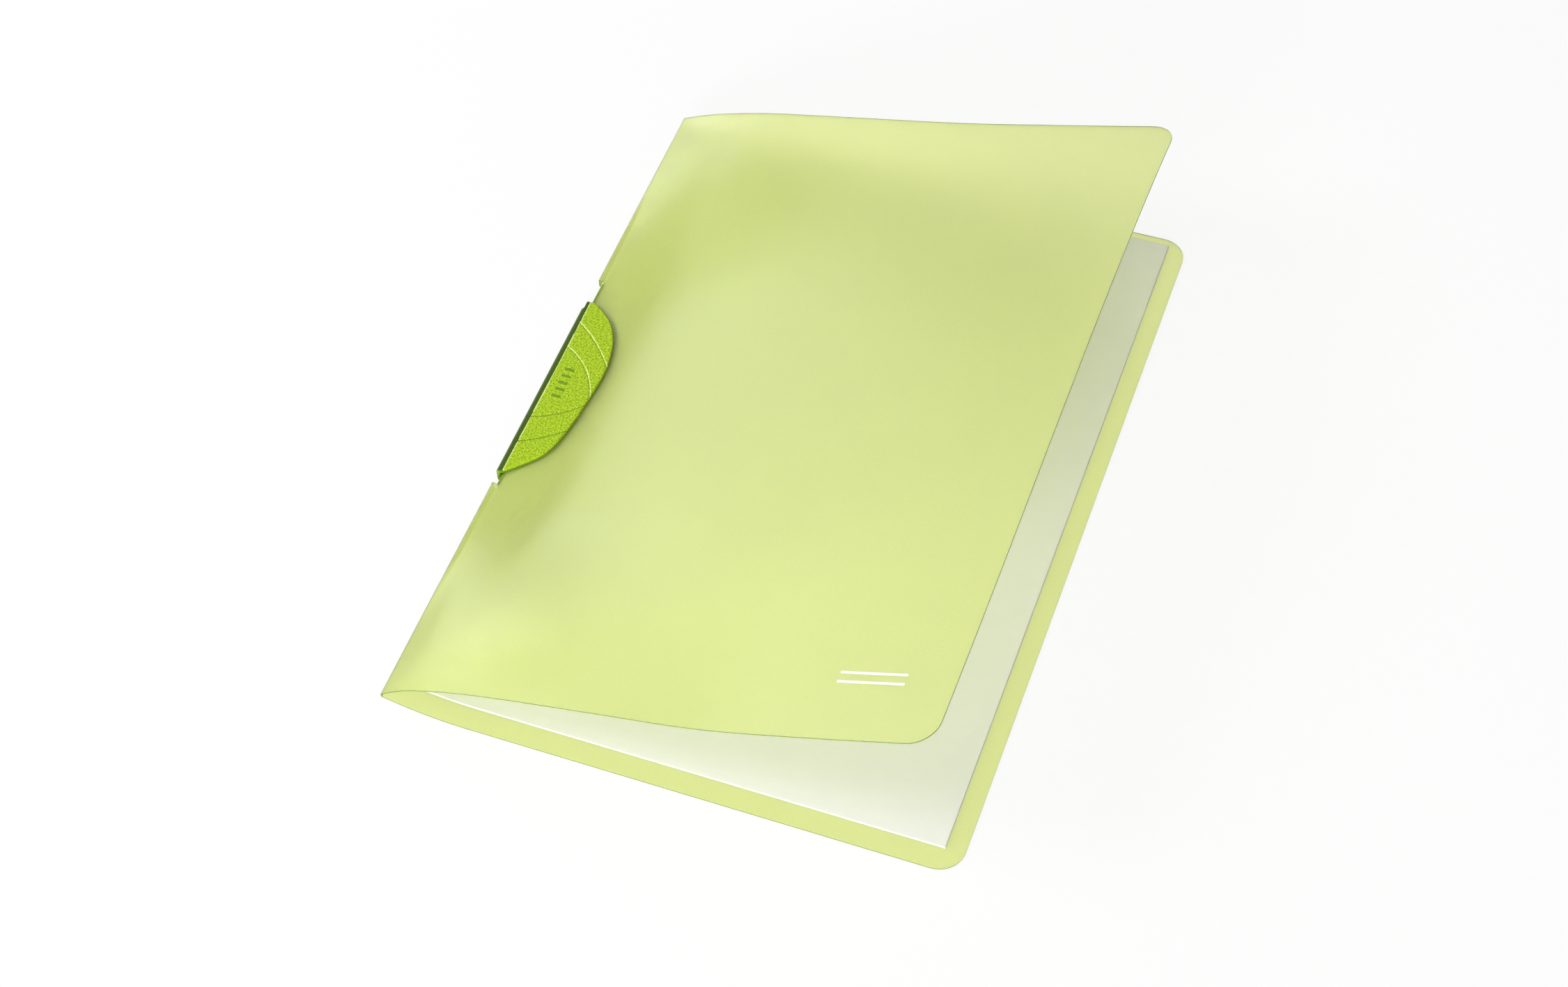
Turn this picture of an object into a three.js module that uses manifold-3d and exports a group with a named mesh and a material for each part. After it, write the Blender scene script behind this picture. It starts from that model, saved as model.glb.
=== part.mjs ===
// Clip folder for A4 sheets: a folded film cover that stands ajar, a rail fixed inside the fold,
// a clip that swings round the spine edge, and a stack of loose sheets.
// Millimetres, +Z up. +Y runs along the spine and +X from the spine to the free edges.
// Inside this file x = 0 is the spine and y = 0 the bottom edge; the group is centred at the end.
import * as THREE from "three";
import { mergeVertices } from "three/addons/utils/BufferGeometryUtils.js";
import Module from "manifold-3d";

const wasm = await Module();
wasm.setup();

// Film cover
const film = 0.45;
const coverWidth = 220;
const coverHeight = 310;
const cornerRadius = 10;
const cornerFacets = 6;
const foreshortening = 10;
const freeEdgeHeight = { bottom: 79.3, middle: 77.3, top: 64.5 };
const creaseHeight = { bottom: 6.9, clip: 5.4, top: 6.7 };
const backCreaseHeight = { bottom: 5.3, clip: 1.62, top: 4.2 };
const creaseBulge = 0.3;
const backCurlLength = 35;
const sideBend = 30;
const liftOffRadius = 4;
// How far the ajar front stands above the straight line from its crease to its free edge, as
// [share of the reach, millimetres].
const crownBottom = [
  [0, 0], [0.05, 3.5], [0.13, 4.8], [0.23, 3.9], [0.4, 0.3], [0.6, -3.9], [0.78, -3], [1, 0],
];
const crownTop = [
  [0, 0], [0.05, 2.1], [0.1, 3.2], [0.18, 3.8], [0.3, 2.8], [0.58, 0], [0.75, -0.3], [1, 0],
];

// Sheets
const sheetWidth = 210;
const sheetHeight = 297;
const stackThickness = 1.2;
const sheetsAboveBottomEdge = 8.7;
const endBend = 44;

// Clip: two leaf-shaped plates joined by a web that lies outside the spine
const clipLength = 91.7;
const clipAboveMiddle = 0.2;
const clipReach = 20.8;
const frontPlate = 1.6;
const backPlate = 1.2;
const jaw = 4;
const webThickness = 1.8;
const webOverhang = 0.9;
const plateBevel = 0.4;
const grooveWidth = 0.5;
const grooveDepth = 0.35;
// The upper two grooves run out of the rim, the lower two across the plate from the spine edge. Each
// is three points of a curve as [share of the reach, distance from the pivot end].
const rimGrooves = [
  [[0.09, 12], [0.6, 18.8], [1.02, 31]],
  [[0.09, 25.2], [0.725, 31.8], [0.95, 46.5]],
];
const edgeGrooves = [
  [[-0.07, 63.6], [0.55, 60.6], [0.94, 51]],
  [[-0.07, 77.2], [0.42, 73.2], [0.84, 65.5]],
];
// Raised thumb bars, with their span across the plate and from the pivot end.
const bars = { count: 5, from: 36.5, to: 50.5, left: 5.1, right: 8.7, width: 1.8, height: 0.15, root: 0.3 };
// Outline of a plate as [share of the reach, share of the length from the pivot end].
const leafOutline = [
  [0.25, 0.012], [0.587, 0.073], [0.8, 0.145], [0.92, 0.222], [1, 0.34],
  [0.965, 0.5], [0.85, 0.72], [0.66, 0.855], [0.36, 0.935], [0.08, 0.995],
];

// Rail: flange under the sheets, stop rib along the spine, knuckle for the clip
const railLength = 108.8;
const railOverrun = 12.4;
const flangeReach = 14;
const flangeThickness = 0.9;
const ribThickness = 1.2;
const ribHeight = 2.1;
const knuckleRadius = 1.1;
const pivotInset = 2.9;
const pinRadius = 0.45;
const pinClearance = 0.1;
const pinLength = 1.2;
const studRadius = 1.2;
const studHeadRadius = 1.7;
const studHeadThickness = 0.3;

// Clearances
const gap = 0.2;
const sideGap = 0.3;
const windowMargin = 0.6;
const hingeGap = 0.35;

// Bend line of the front cover beside the clip: its axis, and how far the fixed margin reaches
const bendAxis = { x: 20, z: 9 };
const bendRadius = 20.3;

const clipTop = coverHeight / 2 + clipLength / 2 + clipAboveMiddle;
const clipBottom = clipTop - clipLength;
const railTop = clipTop + railOverrun;
const railBottom = railTop - railLength;
const windowTop = railTop + windowMargin;
const windowBottom = railBottom - windowMargin;
const pivot = { x: knuckleRadius - webOverhang, y: clipTop - pivotInset };

const frontPlateBottom = backPlate + jaw;
const frontPlateTop = frontPlateBottom + frontPlate;
const ribInner = webThickness - webOverhang + sideGap;
const ribOuter = ribInner + ribThickness;
const windowDepth = ribOuter - gap;
const clipFilmBottom = backPlate + gap;
const flangeBottom = clipFilmBottom + film + gap;
const flangeTop = flangeBottom + flangeThickness;
const clipZoneStackBottom = flangeTop + gap;
const frontFilmAtClip = clipZoneStackBottom + stackThickness + gap + film / 2;
const flatEnd = clipReach + 2 * plateBevel;
const reach = coverWidth - foreshortening;

// Scalar helpers
const mix = (a, b, t) => a + (b - a) * t;
const clamp01 = (t) => Math.min(1, Math.max(0, t));
const easeBetween = (from, to, value) => {
  const t = clamp01((value - from) / (to - from));
  return t * t * (3 - 2 * t);
};

// Smooth curve through [at, height] pairs, a cubic with the slope of each point's neighbours.
function heightOn(points, at) {
  const last = points.length - 1;
  let i = 0;
  while (i < last - 1 && at > points[i + 1][0]) i += 1;
  const slopeAt = (k) => {
    const before = points[Math.max(0, k - 1)];
    const after = points[Math.min(last, k + 1)];
    return (after[1] - before[1]) / (after[0] - before[0]);
  };
  const [x0, y0] = points[i];
  const [x1, y1] = points[i + 1];
  const span = x1 - x0;
  const t = clamp01((at - x0) / span);
  const [t2, t3] = [t * t, t * t * t];
  return (2 * t3 - 3 * t2 + 1) * y0 + (t3 - 2 * t2 + t) * span * slopeAt(i)
    + (3 * t2 - 2 * t3) * y1 + (t3 - t2) * span * slopeAt(i + 1);
}

// 1 where the clip and the rail hold the film flat, falling to 0 towards both ends of the spine.
const freeSpineEnd = 0.05 * coverHeight;
const clampedShare = (y) =>
  easeBetween(freeSpineEnd, railBottom, y)
  * (1 - easeBetween(clipTop, coverHeight - freeSpineEnd, y));

const alongSpine = (values, y) =>
  mix(mix(values.bottom, values.top, y / coverHeight), values.clip, clampedShare(y));

const creaseX = (y) => mix(creaseBulge, -creaseBulge, clampedShare(y));
const creaseZ = (y) => alongSpine(creaseHeight, y);

// Middle surface of the back panel: flat on the table, curling up to the spine.
function backHeight(x, y) {
  const flat = film / 2;
  const curl = clamp01(1 - x / backCurlLength) ** 2;
  const ends = mix(backCreaseHeight.bottom, backCreaseHeight.top, y / coverHeight) - flat;
  const held = backCreaseHeight.clip - flat;
  return flat + mix(ends * curl, held * (1 - easeBetween(flatEnd, flatEnd + sideBend, x)), clampedShare(y));
}

// Middle surface of the ajar front panel.
function frontHeight(x, y) {
  const along = y / coverHeight;
  const share = clamp01((x - creaseX(y)) / (reach - creaseX(y)));
  const lineAt = (low, high) => mix(low, high, share);
  const bottom = lineAt(creaseHeight.bottom, freeEdgeHeight.bottom) + heightOn(crownBottom, share);
  const top = lineAt(creaseHeight.top, freeEdgeHeight.top) + heightOn(crownTop, share);
  const run = Math.max(0, x - flatEnd);
  const lifted = Math.hypot(run, liftOffRadius) - liftOffRadius;
  const fullRun = Math.hypot(reach - flatEnd, liftOffRadius) - liftOffRadius;
  const rise = (freeEdgeHeight.middle - frontFilmAtClip) / fullRun;
  const nearCrease = (creaseHeight.clip - frontFilmAtClip) * (1 - easeBetween(creaseX(y), windowDepth, x));
  const middle = frontFilmAtClip + nearCrease + lifted * rise;
  const bowed = 4 * along * (1 - along);
  const outward = easeBetween(flatEnd + cornerRadius, reach / 2 + cornerRadius, x);
  return mix(mix(bottom, top, along), middle, mix(clampedShare(y), bowed, outward));
}

// Where the front panel lies at a given distance from the bend axis, found by halving.
function frontAtRadius(radius, y) {
  const halvings = 40;
  let [low, high] = [bendAxis.x, bendAxis.x + radius];
  for (let i = 0; i < halvings; i += 1) {
    const x = (low + high) / 2;
    if (Math.hypot(x - bendAxis.x, frontHeight(x, y) - bendAxis.z) < radius) low = x;
    else high = x;
  }
  return low;
}

// Evenly spaced values from one end to the other, both included.
const steps = (from, to, count) =>
  Array.from({ length: count + 1 }, (_, i) => mix(from, to, i / count));

// Distances from a free edge at which a rounded corner is sampled, nearest first.
const cornerSteps = (radius, count) =>
  steps(0, Math.PI / 2, count).map((angle) => radius * (1 - Math.cos(angle)));

// How far a rounded corner cuts into the side at a distance from the free edge.
const cornerInset = (radius, distance) =>
  distance >= radius ? 0 : radius - Math.sqrt(radius ** 2 - (radius - distance) ** 2);

// Closed solid of a sheet. sections[j] is the sheet's middle line at grid row j as [x, z] pairs,
// rowY(j, i) is the y of row j at column i, and keeps(i, j) says whether a cell is material.
const sharpestMitre = 0.6;
function sheetSolid(sections, rowY, thickness, keeps = () => true) {
  const rows = sections.length;
  const columns = sections[0].length;
  const positions = [];
  const place = (i, j, side) => {
    const line = sections[j];
    const before = line[Math.max(0, i - 1)];
    const here = line[i];
    const after = line[Math.min(columns - 1, i + 1)];
    const incoming = new THREE.Vector2(here[0] - before[0], here[1] - before[1]);
    const outgoing = new THREE.Vector2(after[0] - here[0], after[1] - here[1]);
    if (i === 0) incoming.copy(outgoing);
    if (i === columns - 1) outgoing.copy(incoming);
    const a = new THREE.Vector2(-incoming.y, incoming.x).normalize();
    const b = new THREE.Vector2(-outgoing.y, outgoing.x).normalize();
    const normal = a.clone().add(b).normalize();
    const reachOut = (side * thickness) / 2 / Math.max(sharpestMitre, normal.dot(a));
    return [here[0] + normal.x * reachOut, rowY(j, i), here[1] + normal.y * reachOut];
  };
  for (let j = 0; j < rows; j += 1) {
    for (let i = 0; i < columns; i += 1) positions.push(...place(i, j, 1), ...place(i, j, -1));
  }
  const at = (i, j, side) => (j * columns + i) * 2 + side;
  const index = [];
  const quad = (a, b, c, d) => index.push(a, b, d, b, c, d);
  const filled = (i, j) => i >= 0 && j >= 0 && i < columns - 1 && j < rows - 1 && keeps(i, j);
  for (let j = 0; j < rows - 1; j += 1) {
    for (let i = 0; i < columns - 1; i += 1) {
      if (!filled(i, j)) continue;
      quad(at(i, j, 0), at(i + 1, j, 0), at(i + 1, j + 1, 0), at(i, j + 1, 0));
      quad(at(i, j, 1), at(i, j + 1, 1), at(i + 1, j + 1, 1), at(i + 1, j, 1));
      if (!filled(i, j - 1)) quad(at(i, j, 0), at(i, j, 1), at(i + 1, j, 1), at(i + 1, j, 0));
      if (!filled(i, j + 1)) quad(at(i, j + 1, 1), at(i, j + 1, 0), at(i + 1, j + 1, 0), at(i + 1, j + 1, 1));
      if (!filled(i - 1, j)) quad(at(i, j, 1), at(i, j, 0), at(i, j + 1, 0), at(i, j + 1, 1));
      if (!filled(i + 1, j)) quad(at(i + 1, j, 0), at(i + 1, j, 1), at(i + 1, j + 1, 1), at(i + 1, j + 1, 0));
    }
  }
  const geometry = new THREE.BufferGeometry();
  geometry.setAttribute("position", new THREE.Float32BufferAttribute(positions, 3));
  geometry.setIndex(index);
  return geometry;
}

// Joining and cutting
function toSolid(geometry) {
  const bare = geometry.clone();
  bare.deleteAttribute("normal");
  bare.deleteAttribute("uv");
  const merged = mergeVertices(bare, 1e-4);
  return new wasm.Manifold(new wasm.Mesh({
    numProp: 3,
    vertProperties: new Float32Array(merged.attributes.position.array),
    triVerts: new Uint32Array(merged.index.array),
  }));
}

function toGeometry(solid) {
  const mesh = solid.getMesh();
  const geometry = new THREE.BufferGeometry();
  geometry.setAttribute("position", new THREE.BufferAttribute(mesh.vertProperties, 3));
  geometry.setIndex(new THREE.BufferAttribute(mesh.triVerts, 1));
  return geometry;
}

const joined = (first, ...others) => others.reduce((whole, part) => whole.add(part), first);
const cutBy = (body, ...tools) => tools.reduce((left, tool) => left.subtract(tool), body);

function boxBetween(low, high) {
  const size = high.map((value, axis) => value - low[axis]);
  const box = new THREE.BoxGeometry(...size);
  box.translate(...low.map((value, axis) => value + size[axis] / 2));
  return toSolid(box);
}

function uprightCylinder(radius, x, y, low, high) {
  const cylinder = new THREE.CylinderGeometry(radius, radius, high - low, 24);
  cylinder.rotateX(Math.PI / 2);
  cylinder.translate(x, y, (low + high) / 2);
  return toSolid(cylinder);
}

// Rows of the cover's grid, with the window's ends among them.
const cornerRow = cornerRadius + hingeGap;
const coverRows = [
  0, ...steps(cornerRow, windowBottom, 7),
  ...steps(clipBottom, clipTop, 4),
  ...steps(windowTop, coverHeight - cornerRow, 7), coverHeight,
];
// Columns of the back panel between its flat part and the window, shared with the sheets on it.
const curlColumns = [...steps(flatEnd + sideBend, flatEnd, 5), ...steps(flatEnd, windowDepth, 4).slice(1)];
const middleColumn = 0.6 * coverWidth;
const isWindowRow = (j) => coverRows[j] >= windowBottom && coverRows[j + 1] <= windowTop;

// y of a grid row, pulled in at the rounded corners by the distance to the free edge.
function roundedRow(j, distance) {
  const inset = cornerInset(cornerRadius, distance);
  if (j === 0) return inset;
  if (j === coverRows.length - 1) return coverHeight - inset;
  return coverRows[j];
}

// Distances of a panel's first columns from its free edge, and the y of its rows.
const fromEdge = cornerSteps(cornerRadius, cornerFacets);
const panelRowY = (j, i) => roundedRow(j, i < fromEdge.length ? fromEdge[i] : cornerRadius);

// Back panel, spine and the margin of the front panel that the clip holds, as one folded film.
function backCoverGeometry() {
  const panelX = [...fromEdge.map((distance) => coverWidth - distance), middleColumn, ...curlColumns];
  const marginShares = steps(0, 1, 8);
  const sections = coverRows.map((y) => {
    const edge = frontAtRadius(bendRadius - hingeGap / 2, y);
    const panel = panelX.map((x) => [x, backHeight(x, y)]);
    const crease = creaseX(y);
    const backCrease = [crease, backHeight(0, y)];
    const frontCrease = [crease, creaseZ(y)];
    const margin = marginShares.map((t) => {
      const x = mix(windowDepth, edge, t);
      return [x, frontHeight(x, y)];
    });
    return [...panel, backCrease, frontCrease, ...margin];
  });
  const [windowFrom, windowTo] = [panelX.length - 1, panelX.length + 2];
  const isWindow = (i, j) => i >= windowFrom && i < windowTo && isWindowRow(j);
  const sheet = toSolid(sheetSolid(sections, panelRowY, film, (i, j) => !isWindow(i, j)));
  const holes = studPlaces.map(([x, y]) =>
    uprightCylinder(studRadius + sideGap, x, y, 0, flangeTop));
  return toGeometry(cutBy(sheet, ...holes));
}

// The rest of the front panel, free to swing about the bend beside the clip.
function frontCoverGeometry() {
  const shares = steps(0, 1, 15).slice(1);
  const outer = fromEdge.map((distance) => reach - distance * (reach / coverWidth));
  const sections = coverRows.map((y) => {
    const start = frontAtRadius(bendRadius + hingeGap / 2, y);
    const inner = shares.map((t) => mix(reach - cornerRadius, start, t));
    return [...outer, ...inner].map((x) => [x, frontHeight(x, y)]);
  });
  return sheetSolid(sections, panelRowY, film);
}

// Sheets lie on the back panel and step up over the rail's flange.
function paperGeometry() {
  const left = ribOuter + gap;
  const overFlange = (x, y) => (1 - easeBetween(flangeReach + gap, flangeReach + sideBend, x))
    * easeBetween(railBottom - endBend, railBottom - gap, y)
    * (1 - easeBetween(railTop + gap, railTop + endBend, y));
  const middleOf = (x, y) => {
    const onPanel = backHeight(x, y) + film / 2 + gap;
    const step = clipZoneStackBottom - (clipFilmBottom + film + gap);
    return onPanel + step * overFlange(x, y) + stackThickness / 2;
  };
  const columns = [
    left + sheetWidth, middleColumn, ...curlColumns.filter((x) => x > left), left,
  ];
  const low = sheetsAboveBottomEdge;
  const high = low + sheetHeight;
  const rows = [low, ...coverRows.filter((y) => y > low && y < high), high];
  const sections = rows.map((y) => columns.map((x) => [x, middleOf(x, y)]));
  return sheetSolid(sections, (j) => rows[j], stackThickness);
}

// Studs that hold the rail on the back panel, clear of the clip's swing.
const studPlaces = [
  [flangeReach / 2, railBottom + studHeadRadius],
  [flangeReach / 2, railTop - 2 * studHeadRadius],
];

function railGeometry() {
  const flange = boxBetween([ribInner, railBottom, flangeBottom], [flangeReach, railTop, flangeTop]);
  const ribTop = flangeBottom + ribHeight;
  const rib = boxBetween([ribInner, railBottom, flangeBottom], [ribOuter, railTop, ribTop]);
  const barrel = uprightCylinder(
    knuckleRadius, pivot.x, pivot.y, backPlate + gap, frontPlateBottom - gap,
  );
  const arm = boxBetween(
    [pivot.x, pivot.y - knuckleRadius, backPlate + gap],
    [ribInner + ribThickness / 2, pivot.y + knuckleRadius, ribTop],
  );
  const bore = uprightCylinder(pinRadius + pinClearance, pivot.x, pivot.y, 0, frontPlateTop);
  const headTop = clipFilmBottom - gap;
  const headBottom = headTop - studHeadThickness;
  const studs = studPlaces.map(([x, y]) => uprightCylinder(studRadius, x, y, headBottom, flangeTop));
  const heads = studPlaces.map(([x, y]) => uprightCylinder(studHeadRadius, x, y, headBottom, headTop));
  return toGeometry(cutBy(joined(flange, rib, barrel, arm, ...studs, ...heads), bore));
}

// Plan of a clip plate.
function leafShape() {
  const shape = new THREE.Shape();
  shape.moveTo(-webOverhang, clipBottom);
  shape.lineTo(-webOverhang, clipTop);
  const rim = leafOutline.map(([across, down]) =>
    new THREE.Vector2(across * clipReach, clipTop - down * clipLength));
  shape.lineTo(rim[0].x - 2, clipTop);
  shape.splineThru(rim);
  return shape;
}

function plateSolid(low, thickness) {
  const plate = new THREE.ExtrudeGeometry(leafShape(), {
    depth: thickness - 2 * plateBevel,
    bevelThickness: plateBevel,
    bevelSize: plateBevel,
    bevelOffset: -plateBevel,
    bevelSegments: 2,
    curveSegments: 4,
  });
  plate.translate(0, 0, low + plateBevel);
  return toSolid(plate);
}

// Cutter for one groove of the front plate.
function grooveSolid(points) {
  const facets = 12;
  const curve = new THREE.QuadraticBezierCurve(...points.map(([across, down]) =>
    new THREE.Vector2(across * clipReach, clipTop - down)));
  const side = (offset) => steps(0, 1, facets).map((t) => {
    const along = curve.getTangent(t);
    return curve.getPoint(t).add(new THREE.Vector2(-along.y, along.x).multiplyScalar(offset));
  });
  const band = new THREE.Shape([...side(-grooveWidth / 2), ...side(grooveWidth / 2).reverse()]);
  const groove = new THREE.ExtrudeGeometry(band, { depth: frontPlate, bevelEnabled: false });
  groove.translate(0, 0, frontPlateTop - grooveDepth);
  return toSolid(groove);
}

function clipGeometry() {
  const webInner = webThickness - webOverhang;
  const web = boxBetween(
    [-webOverhang, clipBottom + plateBevel, plateBevel],
    [webInner, pivot.y - knuckleRadius - sideGap, frontPlateTop - plateBevel],
  );
  const pins = [
    [backPlate / 2, backPlate + pinLength],
    [frontPlateBottom - pinLength, frontPlateBottom + plateBevel],
  ].map(([low, high]) => uprightCylinder(pinRadius, pivot.x, pivot.y, low, high));
  const grooves = [...rimGrooves, ...edgeGrooves].map(grooveSolid);
  const ribs = steps(bars.from, bars.to, bars.count - 1).map((down) => boxBetween(
    [bars.left, clipTop - down - bars.width / 2, frontPlateTop - bars.root],
    [bars.right, clipTop - down + bars.width / 2, frontPlateTop + bars.height],
  ));
  const body = joined(
    plateSolid(0, backPlate), plateSolid(frontPlateBottom, frontPlate), web, ...pins,
  );
  return toGeometry(joined(cutBy(body, ...grooves), ...ribs));
}

// Finishes
const finishes = {
  film: new THREE.MeshStandardMaterial({ color: "#dbe79a", transparent: true, opacity: 0.6 }),
  clip: new THREE.MeshStandardMaterial({ color: "#a9c726", roughness: 0.3 }),
  rail: new THREE.MeshStandardMaterial({ color: "#8ca91f", roughness: 0.4 }),
  paper: new THREE.MeshStandardMaterial({ color: "#f7f8f4", roughness: 0.9 }),
};

function named(name, geometry, finish) {
  const mesh = new THREE.Mesh(geometry, finish);
  mesh.name = name;
  return mesh;
}

const folder = new THREE.Group();
folder.add(
  named("back_cover", backCoverGeometry(), finishes.film),
  named("front_cover", frontCoverGeometry(), finishes.film),
  named("paper_sheets", paperGeometry(), finishes.paper),
  named("clip_rail", railGeometry(), finishes.rail),
  named("swing_clip", clipGeometry(), finishes.clip),
);
folder.position.set(-(coverWidth - webOverhang) / 2, -coverHeight / 2, 0);

export default folder;
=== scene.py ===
"""Looks of an A4 clip folder: frosted film covers, loose sheets, a fixed rail and a swing clip.

Shapes are worked out in millimetres, with x from the spine, y from the bottom edge and z from the
table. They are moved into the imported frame, in metres, when their mesh is made.
"""

import logging
import math
from collections.abc import Sequence
from dataclasses import dataclass
from enum import Enum, IntEnum

import bpy
import numpy as np
from mathutils import Matrix, Vector


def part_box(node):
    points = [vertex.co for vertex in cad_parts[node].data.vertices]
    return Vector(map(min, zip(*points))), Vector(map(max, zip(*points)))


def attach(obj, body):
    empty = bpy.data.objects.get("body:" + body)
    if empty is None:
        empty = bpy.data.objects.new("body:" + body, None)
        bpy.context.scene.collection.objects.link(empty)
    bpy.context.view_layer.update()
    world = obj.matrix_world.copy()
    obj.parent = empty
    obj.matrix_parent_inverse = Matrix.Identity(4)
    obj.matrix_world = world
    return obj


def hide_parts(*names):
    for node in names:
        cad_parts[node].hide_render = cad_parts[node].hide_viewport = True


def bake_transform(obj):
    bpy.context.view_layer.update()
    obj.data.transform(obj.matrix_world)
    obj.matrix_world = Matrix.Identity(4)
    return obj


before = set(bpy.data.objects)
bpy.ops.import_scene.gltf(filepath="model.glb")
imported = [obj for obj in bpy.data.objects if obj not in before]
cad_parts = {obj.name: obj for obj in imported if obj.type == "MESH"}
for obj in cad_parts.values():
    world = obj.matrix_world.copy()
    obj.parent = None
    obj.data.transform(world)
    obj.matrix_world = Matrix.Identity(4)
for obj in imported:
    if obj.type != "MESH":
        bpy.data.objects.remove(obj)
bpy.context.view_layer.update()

log = logging.getLogger("clip_folder")

MILLIMETRE = 0.001
SHARP_ANGLE_DEG = 40.0
NOISE_BAND = (0.33, 0.67)
MOTTLE_COARSENESS = 40.0
Colour = tuple[float, float, float]
Numbers = np.ndarray | float


class Zone(IntEnum):
    """Material places of a shell: broad faces, the wall round its rim, painted shade and a painted
    highlight.
    """

    FACE = 0
    # Rims; on the clip also the painted shade in the edge's grooves, and the bars.
    RIM_AND_PAINTED_SHADE = 1
    # Painted shade over the clip's web and back plate.
    PAINTED_SHADE = 2
    # Painted highlight along the clip's plate edge beside the web and in its rim grooves.
    PAINTED_HIGHLIGHT = 3


class Body(Enum):
    """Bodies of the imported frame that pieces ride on."""

    ROOT = "root"
    FRONT = "front"
    CLIP = "clip"


# Numbers and curves


def mix(start: Numbers, end: Numbers, share: Numbers) -> np.ndarray:
    """Straight blend: start plus the share of the way to end."""
    return start + (end - start) * share


def ease_between(start: Numbers, end: Numbers, value: np.ndarray) -> np.ndarray:
    """Smooth step: 0 before start, 1 after end, three squares less two cubes of the way between."""
    way = np.clip((value - start) / (end - start), 0.0, 1.0)
    return way * way * (3.0 - 2.0 * way)


def evenly(start: float, end: float, count: int) -> np.ndarray:
    """Even places from start towards end, without end itself, which the next stretch begins."""
    return np.linspace(start, end, count, endpoint=False)


def curve_through(points: Sequence[tuple[float, float]], at: np.ndarray) -> np.ndarray:
    """Smooth curve through points.

    Each stretch is the cubic that meets its two ends with the slope of each end's neighbours.

    Args:
        points: Pairs of place and height, in rising order of place.
        at: Places at which the curve is wanted.

    Returns:
        The heights at those places.
    """
    knots, heights = np.array(points, dtype=float).T
    numbers = np.arange(len(knots))
    before = np.maximum(numbers - 1, 0)
    after = np.minimum(numbers + 1, len(knots) - 1)
    slopes = (heights[after] - heights[before]) / (knots[after] - knots[before])
    left = np.clip(np.searchsorted(knots, at, side="left") - 1, 0, len(knots) - 2)
    span = knots[left + 1] - knots[left]
    way = np.clip((at - knots[left]) / span, 0.0, 1.0)
    square, cube = way**2, way**3
    return (
        (2 * cube - 3 * square + 1) * heights[left]
        + (cube - 2 * square + way) * span * slopes[left]
        + (3 * square - 2 * cube) * heights[left + 1]
        + (cube - square) * span * slopes[left + 1]
    )


def rounded_drop(radius: float, distance: np.ndarray) -> np.ndarray:
    """How far a quarter round falls below its flat at a distance from its rim, by Pythagoras."""
    inside = np.clip(radius - distance, 0.0, radius)
    return radius - np.sqrt(radius**2 - inside**2)


def grid_normals(points: np.ndarray) -> np.ndarray:
    """Unit normals of a grid of points: column differences crossed with row differences."""
    normals = np.cross(np.gradient(points, axis=1), np.gradient(points, axis=0))
    return normals / np.linalg.norm(normals, axis=2, keepdims=True)


# Objects and meshes


def add_object(name: str, data: bpy.types.ID) -> bpy.types.Object:
    """New object for a mesh, lamp or camera, linked to the scene."""
    made = bpy.data.objects.new(name, data)
    bpy.context.scene.collection.objects.link(made)
    return made


def shell_quads(keep: np.ndarray, zones: np.ndarray) -> tuple[np.ndarray, np.ndarray]:
    """Quads of a closed shell over a grid of cells.

    The outer side takes each kept cell as it is, the inner side takes it turned round, and a wall
    joins the two wherever a kept cell has no kept neighbour. Inner points are numbered after all
    outer points.

    Args:
        keep: Which cells of the grid are material, as rows by columns.
        zones: The Zone of each cell.

    Returns:
        The quads' point numbers and the Zone of each quad.
    """
    rows, columns = keep.shape
    count = (rows + 1) * (columns + 1)
    index = np.arange(count).reshape(rows + 1, columns + 1)
    a, b, c, d = index[:-1, :-1], index[:-1, 1:], index[1:, 1:], index[1:, :-1]
    padded = np.pad(keep, 1)
    bare_below = keep & ~padded[:-2, 1:-1]
    bare_above = keep & ~padded[2:, 1:-1]
    bare_left = keep & ~padded[1:-1, :-2]
    bare_right = keep & ~padded[1:-1, 2:]
    faces = [
        np.stack([a, b, c, d], -1)[keep],
        np.stack([a, d, c, b], -1)[keep] + count,
    ]
    walls = [
        np.stack([a + count, b + count, b, a], -1)[bare_below],
        np.stack([d, c, c + count, d + count], -1)[bare_above],
        np.stack([a, d, d + count, a + count], -1)[bare_left],
        np.stack([b, b + count, c + count, c], -1)[bare_right],
    ]
    rim = np.full(sum(map(len, walls)), Zone.RIM_AND_PAINTED_SHADE)
    return np.concatenate(faces + walls), np.concatenate([zones[keep], zones[keep], rim])


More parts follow.
